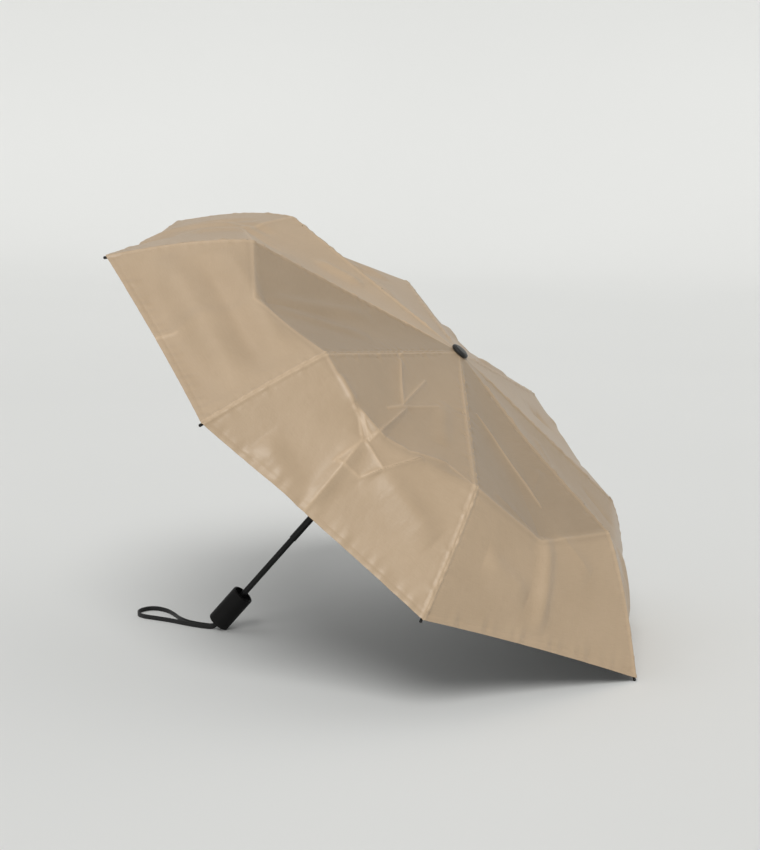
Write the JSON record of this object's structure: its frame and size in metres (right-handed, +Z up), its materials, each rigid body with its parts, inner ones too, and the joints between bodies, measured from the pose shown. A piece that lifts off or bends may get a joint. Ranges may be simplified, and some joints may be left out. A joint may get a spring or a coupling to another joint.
{
  "type": "folding umbrella",
  "caption": "Open folding umbrella lying at rest: satin canopy on three-section hinged ribs, telescoping shaft, sliding runner, push-button handle and wrist strap.",
  "frame": {"origin": "centre of the bounding box's base, on the floor under the open umbrella as it lies at rest, wrist strap left out", "axes": "+Z up from the floor; the shaft lies in the XZ plane and rises from the handle towards +X; +Y completes the frame"},
  "size_m": [0.7961, 0.9308, 0.6046],
  "materials": {
    "canopy_fabric": "satin polyester",
    "rib_steel": "black lacquered steel",
    "shaft_metal": "satin black lacquer",
    "handle_plastic": "soft-touch black",
    "hub_plastic": "moulded black",
    "cap_plastic": "satin black",
    "spring_steel": "bright wire",
    "strap_webbing": "woven black"
  },
  "bodies": {
    "handle": {"handle_shell": "handle_plastic", "handle_core": "handle_plastic", "handle_collar": "handle_plastic", "handle_end_cap": "handle_plastic", "lower_tube": "shaft_metal", "shaft_spring": "spring_steel", "button_spring": "spring_steel", "wrist_strap": "strap_webbing"},
    "button": {"release_button": "handle_plastic"},
    "middle_tube": {"middle_tube": "shaft_metal"},
    "canopy_post": {"upper_tube": "shaft_metal", "crown_hub": "hub_plastic", "crown_pins": "spring_steel", "top_cap": "cap_plastic", "canopy_panel_1": "canopy_fabric", "canopy_panel_2": "canopy_fabric", "canopy_panel_3": "canopy_fabric", "canopy_panel_4": "canopy_fabric", "canopy_panel_5": "canopy_fabric", "canopy_panel_6": "canopy_fabric", "canopy_panel_7": "canopy_fabric", "canopy_panel_8": "canopy_fabric"},
    "runner": {"runner": "hub_plastic"},
    "top_rib_1": {"top_rib_1": "rib_steel"},
    "stretcher_1": {"stretcher_1": "rib_steel"},
    "middle_rib_1": {"middle_rib_1": "rib_steel"},
    "outer_rib_1": {"outer_rib_1": "rib_steel"},
    "top_rib_2": {"top_rib_2": "rib_steel"},
    "stretcher_2": {"stretcher_2": "rib_steel"},
    "middle_rib_2": {"middle_rib_2": "rib_steel"},
    "outer_rib_2": {"outer_rib_2": "rib_steel"},
    "top_rib_3": {"top_rib_3": "rib_steel"},
    "stretcher_3": {"stretcher_3": "rib_steel"},
    "middle_rib_3": {"middle_rib_3": "rib_steel"},
    "outer_rib_3": {"outer_rib_3": "rib_steel"},
    "top_rib_4": {"top_rib_4": "rib_steel"},
    "stretcher_4": {"stretcher_4": "rib_steel"},
    "middle_rib_4": {"middle_rib_4": "rib_steel"},
    "outer_rib_4": {"outer_rib_4": "rib_steel"},
    "top_rib_5": {"top_rib_5": "rib_steel"},
    "stretcher_5": {"stretcher_5": "rib_steel"},
    "middle_rib_5": {"middle_rib_5": "rib_steel"},
    "outer_rib_5": {"outer_rib_5": "rib_steel"},
    "top_rib_6": {"top_rib_6": "rib_steel"},
    "stretcher_6": {"stretcher_6": "rib_steel"},
    "middle_rib_6": {"middle_rib_6": "rib_steel"},
    "outer_rib_6": {"outer_rib_6": "rib_steel"},
    "top_rib_7": {"top_rib_7": "rib_steel"},
    "stretcher_7": {"stretcher_7": "rib_steel"},
    "middle_rib_7": {"middle_rib_7": "rib_steel"},
    "outer_rib_7": {"outer_rib_7": "rib_steel"},
    "top_rib_8": {"top_rib_8": "rib_steel"},
    "stretcher_8": {"stretcher_8": "rib_steel"},
    "middle_rib_8": {"middle_rib_8": "rib_steel"},
    "outer_rib_8": {"outer_rib_8": "rib_steel"}
  },
  "joints": [
    {"name": "shaft_collapse", "type": "slide", "parent": "handle", "child": "middle_tube", "axis": [-0.6599, 0, -0.7514], "range_m": [0, 0.112], "deforming": ["shaft_spring"]},
    {"name": "shaft_collapse_upper", "type": "slide", "parent": "middle_tube", "child": "canopy_post", "axis": [-0.6599, 0, -0.7514], "range_m": [0, 0.143]},
    {"name": "button_press", "type": "slide", "parent": "handle", "child": "button", "axis": [0, -1, 0], "range_m": [0, 0.0025], "stiffness_N_per_m": 600, "deforming": ["button_spring"]},
    {"name": "canopy_fold", "type": "hinge", "parent": "canopy_post", "child": "top_rib_1", "pos_m": [0.08512, -0.00547, 0.42541], "axis": [0.3574, -0.8796, -0.3139], "range_deg": [0, 82.5], "deforming": ["canopy_panel_1", "canopy_panel_2", "canopy_panel_3", "canopy_panel_4", "canopy_panel_5", "canopy_panel_6", "canopy_panel_7", "canopy_panel_8"]},
    {"name": "stretcher_1_hinge", "type": "hinge", "parent": "top_rib_1", "child": "stretcher_1", "pos_m": [0.02951, -0.04084, 0.46121], "axis": [0.3574, -0.8796, -0.3139], "range_deg": [-127.59, 0]},
    {"name": "middle_rib_1_hinge", "type": "hinge", "parent": "top_rib_1", "child": "middle_rib_1", "pos_m": [-0.02978, -0.07939, 0.50177], "axis": [0.3574, -0.8796, -0.3139], "range_deg": [-180, 0]},
    {"name": "outer_rib_1_hinge", "type": "hinge", "parent": "middle_rib_1", "child": "outer_rib_1", "pos_m": [-0.16002, -0.16053, 0.58088], "axis": [0.3574, -0.8796, -0.3139], "range_deg": [0, 143.9]},
    {"name": "top_rib_2_hinge", "type": "hinge", "parent": "canopy_post", "child": "top_rib_2", "pos_m": [0.09025, -0.01102, 0.4209], "axis": [0.7201, -0.2857, -0.6324], "range_deg": [0, 82.5]},
    {"name": "stretcher_2_hinge", "type": "hinge", "parent": "top_rib_2", "child": "stretcher_2", "pos_m": [0.06783, -0.08228, 0.42756], "axis": [0.7201, -0.2857, -0.6324], "range_deg": [-127.59, 0]},
    {"name": "middle_rib_2_hinge", "type": "hinge", "parent": "top_rib_2", "child": "middle_rib_2", "pos_m": [0.04472, -0.15997, 0.43634], "axis": [0.7201, -0.2857, -0.6324], "range_deg": [-180, 0]},
    {"name": "outer_rib_2_hinge", "type": "hinge", "parent": "middle_rib_2", "child": "outer_rib_2", "pos_m": [-0.00939, -0.32346, 0.4486], "axis": [0.7201, -0.2857, -0.6324], "range_deg": [0, 143.9]},
    {"name": "top_rib_3_hinge", "type": "hinge", "parent": "canopy_post", "child": "top_rib_3", "pos_m": [0.09683, -0.01012, 0.41512], "axis": [0.6609, 0.4756, -0.5805], "range_deg": [0, 82.5]},
    {"name": "stretcher_3_hinge", "type": "hinge", "parent": "top_rib_3", "child": "stretcher_3", "pos_m": [0.11694, -0.07553, 0.38443], "axis": [0.6609, 0.4756, -0.5805], "range_deg": [-127.59, 0]},
    {"name": "middle_rib_3_hinge", "type": "hinge", "parent": "top_rib_3", "child": "middle_rib_3", "pos_m": [0.1402, -0.14683, 0.35249], "axis": [0.6609, 0.4756, -0.5805], "range_deg": [-180, 0]},
    {"name": "outer_rib_3_hinge", "type": "hinge", "parent": "middle_rib_3", "child": "outer_rib_3", "pos_m": [0.18369, -0.2969, 0.27904], "axis": [0.6609, 0.4756, -0.5805], "range_deg": [0, 143.9]},
    {"name": "top_rib_4_hinge", "type": "hinge", "parent": "canopy_post", "child": "top_rib_4", "pos_m": [0.101, -0.00329, 0.41146], "axis": [0.2147, 0.9583, -0.1885], "range_deg": [0, 85]},
    {"name": "stretcher_4_hinge", "type": "hinge", "parent": "top_rib_4", "child": "stretcher_4", "pos_m": [0.15048, -0.02463, 0.3593], "axis": [0.2147, 0.9583, -0.1885], "range_deg": [-130.09, 0]},
    {"name": "middle_rib_4_hinge", "type": "hinge", "parent": "top_rib_4", "child": "middle_rib_4", "pos_m": [0.2057, -0.04788, 0.30401], "axis": [0.2147, 0.9583, -0.1885], "range_deg": [-176.2, 0]},
    {"name": "outer_rib_4_hinge", "type": "hinge", "parent": "middle_rib_4", "child": "outer_rib_4", "pos_m": [0.32487, -0.09715, 0.18922], "axis": [0.2147, 0.9583, -0.1885], "range_deg": [0, 147.96]},
    {"name": "top_rib_5_hinge", "type": "hinge", "parent": "canopy_post", "child": "top_rib_5", "pos_m": [0.10032, 0.00547, 0.41206], "axis": [-0.3574, 0.8796, 0.3139], "range_deg": [0, 82.5]},
    {"name": "stretcher_5_hinge", "type": "hinge", "parent": "top_rib_5", "child": "stretcher_5", "pos_m": [0.14301, 0.04084, 0.36154], "axis": [-0.3574, 0.8796, 0.3139], "range_deg": [-127.59, 0]},
    {"name": "middle_rib_5_hinge", "type": "hinge", "parent": "top_rib_5", "child": "middle_rib_5", "pos_m": [0.19087, 0.07939, 0.30798], "axis": [-0.3574, 0.8796, 0.3139], "range_deg": [-180, 0]},
    {"name": "outer_rib_5_hinge", "type": "hinge", "parent": "middle_rib_5", "child": "outer_rib_5", "pos_m": [0.28615, 0.16053, 0.18905], "axis": [-0.3574, 0.8796, 0.3139], "range_deg": [0, 143.9]},
    {"name": "top_rib_6_hinge", "type": "hinge", "parent": "canopy_post", "child": "top_rib_6", "pos_m": [0.09519, 0.01102, 0.41657], "axis": [-0.7201, 0.2857, 0.6324], "range_deg": [0, 82.5]},
    {"name": "stretcher_6_hinge", "type": "hinge", "parent": "top_rib_6", "child": "stretcher_6", "pos_m": [0.10469, 0.08228, 0.39519], "axis": [-0.7201, 0.2857, 0.6324], "range_deg": [-127.59, 0]},
    {"name": "middle_rib_6_hinge", "type": "hinge", "parent": "top_rib_6", "child": "middle_rib_6", "pos_m": [0.11638, 0.15997, 0.37341], "axis": [-0.7201, 0.2857, 0.6324], "range_deg": [-180, 0]},
    {"name": "outer_rib_6_hinge", "type": "hinge", "parent": "middle_rib_6", "child": "outer_rib_6", "pos_m": [0.13552, 0.32346, 0.32134], "axis": [-0.7201, 0.2857, 0.6324], "range_deg": [0, 143.9]},
    {"name": "top_rib_7_hinge", "type": "hinge", "parent": "canopy_post", "child": "top_rib_7", "pos_m": [0.08861, 0.01012, 0.42234], "axis": [-0.6609, -0.4756, 0.5805], "range_deg": [0, 82.5]},
    {"name": "stretcher_7_hinge", "type": "hinge", "parent": "top_rib_7", "child": "stretcher_7", "pos_m": [0.05557, 0.07553, 0.43832], "axis": [-0.6609, -0.4756, 0.5805], "range_deg": [-127.59, 0]},
    {"name": "middle_rib_7_hinge", "type": "hinge", "parent": "top_rib_7", "child": "middle_rib_7", "pos_m": [0.02089, 0.14683, 0.45726], "axis": [-0.6609, -0.4756, 0.5805], "range_deg": [-180, 0]},
    {"name": "outer_rib_7_hinge", "type": "hinge", "parent": "middle_rib_7", "child": "outer_rib_7", "pos_m": [-0.05756, 0.2969, 0.4909], "axis": [-0.6609, -0.4756, 0.5805], "range_deg": [0, 143.9]},
    {"name": "top_rib_8_hinge", "type": "hinge", "parent": "canopy_post", "child": "top_rib_8", "pos_m": [0.08444, 0.00329, 0.42601], "axis": [-0.2147, -0.9583, 0.1885], "range_deg": [0, 82.5]},
    {"name": "stretcher_8_hinge", "type": "hinge", "parent": "top_rib_8", "child": "stretcher_8", "pos_m": [0.02443, 0.02453, 0.46567], "axis": [-0.2147, -0.9583, 0.1885], "range_deg": [-127.59, 0]},
    {"name": "middle_rib_8_hinge", "type": "hinge", "parent": "top_rib_8", "child": "middle_rib_8", "pos_m": [-0.03965, 0.04769, 0.51043], "axis": [-0.2147, -0.9583, 0.1885], "range_deg": [-180, 0]},
    {"name": "outer_rib_8_hinge", "type": "hinge", "parent": "middle_rib_8", "child": "outer_rib_8", "pos_m": [-0.17997, 0.09643, 0.59841], "axis": [-0.2147, -0.9583, 0.1885], "range_deg": [0, 143.9]},
    {"name": "runner_slide", "type": "slide", "parent": "canopy_post", "child": "runner", "axis": [-0.6599, 0, -0.7514], "range_m": [0, 0.09608]}
  ],
  "couplings": [
    {"joint": "shaft_collapse_upper", "follows": "shaft_collapse", "ratio": 1.2768},
    {"joint": "stretcher_1_hinge", "follows": "canopy_fold", "ratio": -1.5465},
    {"joint": "middle_rib_1_hinge", "follows": "canopy_fold", "ratio": -2.1818},
    {"joint": "outer_rib_1_hinge", "follows": "canopy_fold", "ratio": 1.7442},
    {"joint": "top_rib_2_hinge", "follows": "canopy_fold", "ratio": 1},
    {"joint": "stretcher_2_hinge", "follows": "canopy_fold", "ratio": -1.5465},
    {"joint": "middle_rib_2_hinge", "follows": "canopy_fold", "ratio": -2.1818},
    {"joint": "outer_rib_2_hinge", "follows": "canopy_fold", "ratio": 1.7442},
    {"joint": "top_rib_3_hinge", "follows": "canopy_fold", "ratio": 1},
    {"joint": "stretcher_3_hinge", "follows": "canopy_fold", "ratio": -1.5465},
    {"joint": "middle_rib_3_hinge", "follows": "canopy_fold", "ratio": -2.1818},
    {"joint": "outer_rib_3_hinge", "follows": "canopy_fold", "ratio": 1.7442},
    {"joint": "top_rib_4_hinge", "follows": "canopy_fold", "ratio": 1.0303},
    {"joint": "stretcher_4_hinge", "follows": "canopy_fold", "ratio": -1.5768},
    {"joint": "middle_rib_4_hinge", "follows": "canopy_fold", "ratio": -2.1358},
    {"joint": "outer_rib_4_hinge", "follows": "canopy_fold", "ratio": 1.7935},
    {"joint": "top_rib_5_hinge", "follows": "canopy_fold", "ratio": 1},
    {"joint": "stretcher_5_hinge", "follows": "canopy_fold", "ratio": -1.5465},
    {"joint": "middle_rib_5_hinge", "follows": "canopy_fold", "ratio": -2.1818},
    {"joint": "outer_rib_5_hinge", "follows": "canopy_fold", "ratio": 1.7442},
    {"joint": "top_rib_6_hinge", "follows": "canopy_fold", "ratio": 1},
    {"joint": "stretcher_6_hinge", "follows": "canopy_fold", "ratio": -1.5465},
    {"joint": "middle_rib_6_hinge", "follows": "canopy_fold", "ratio": -2.1818},
    {"joint": "outer_rib_6_hinge", "follows": "canopy_fold", "ratio": 1.7442},
    {"joint": "top_rib_7_hinge", "follows": "canopy_fold", "ratio": 1},
    {"joint": "stretcher_7_hinge", "follows": "canopy_fold", "ratio": -1.5465},
    {"joint": "middle_rib_7_hinge", "follows": "canopy_fold", "ratio": -2.1818},
    {"joint": "outer_rib_7_hinge", "follows": "canopy_fold", "ratio": 1.7442},
    {"joint": "top_rib_8_hinge", "follows": "canopy_fold", "ratio": 1},
    {"joint": "stretcher_8_hinge", "follows": "canopy_fold", "ratio": -1.5465},
    {"joint": "middle_rib_8_hinge", "follows": "canopy_fold", "ratio": -2.1818},
    {"joint": "outer_rib_8_hinge", "follows": "canopy_fold", "ratio": 1.7442},
    {"joint": "runner_slide", "follows": "canopy_fold", "m_per_rad": 0.066725}
  ]
}
